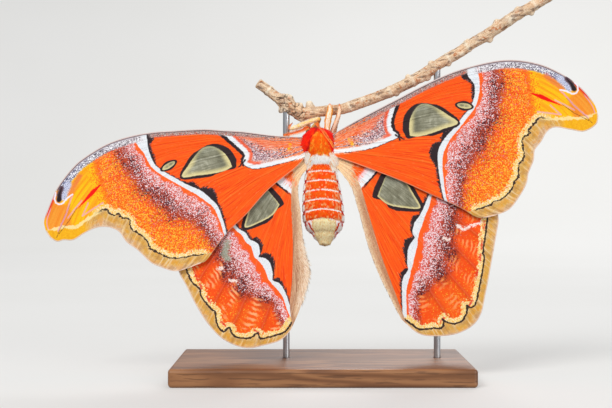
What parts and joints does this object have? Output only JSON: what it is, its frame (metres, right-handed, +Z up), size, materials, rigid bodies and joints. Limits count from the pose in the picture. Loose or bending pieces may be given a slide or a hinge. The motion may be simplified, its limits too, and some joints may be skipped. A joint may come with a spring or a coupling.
{
  "type": "atlas moth",
  "caption": "Life-size atlas moth hanging with spread patterned wings from a cut length of branch, held by a plain base and rods.",
  "frame": {"origin": "middle of the underside of the stand's base, on the floor", "axes": "+X to the right as the moth's back is seen, +Y from its back to its belly, +Z up"},
  "size_m": [0.2478, 0.08, 0.1762],
  "materials": {
    "wing_scales": "matt orange scales with white, black, maroon and yellow markings",
    "thorax_fur": "short dense red and orange fur with a white collar",
    "abdomen_fur": "short orange fur with thin white bands and a cream tip",
    "leg_fur": "short cream and orange fur",
    "antenna": "orange, feathered",
    "eye": "glossy, finely faceted",
    "bark": "light brown cracked bark",
    "stand_wood": "satin varnish",
    "stand_steel": "fine satin"
  },
  "bodies": {
    "root": {"head": "thorax_fur", "thorax": "thorax_fur", "abdomen": "abdomen_fur", "eye_left": "eye", "eye_right": "eye", "antenna_left": "antenna", "antenna_right": "antenna", "forewing_left": "wing_scales", "forewing_right": "wing_scales", "hindwing_left": "wing_scales", "hindwing_right": "wing_scales", "leg_front_left": "leg_fur", "leg_front_right": "leg_fur", "leg_middle_left": "leg_fur", "leg_middle_right": "leg_fur", "leg_hind_left": "leg_fur", "leg_hind_right": "leg_fur", "perch_branch": "bark", "stand_base": "stand_wood", "stand_rod_1": "stand_steel", "stand_rod_2": "stand_steel"}
  },
  "joints": []
}
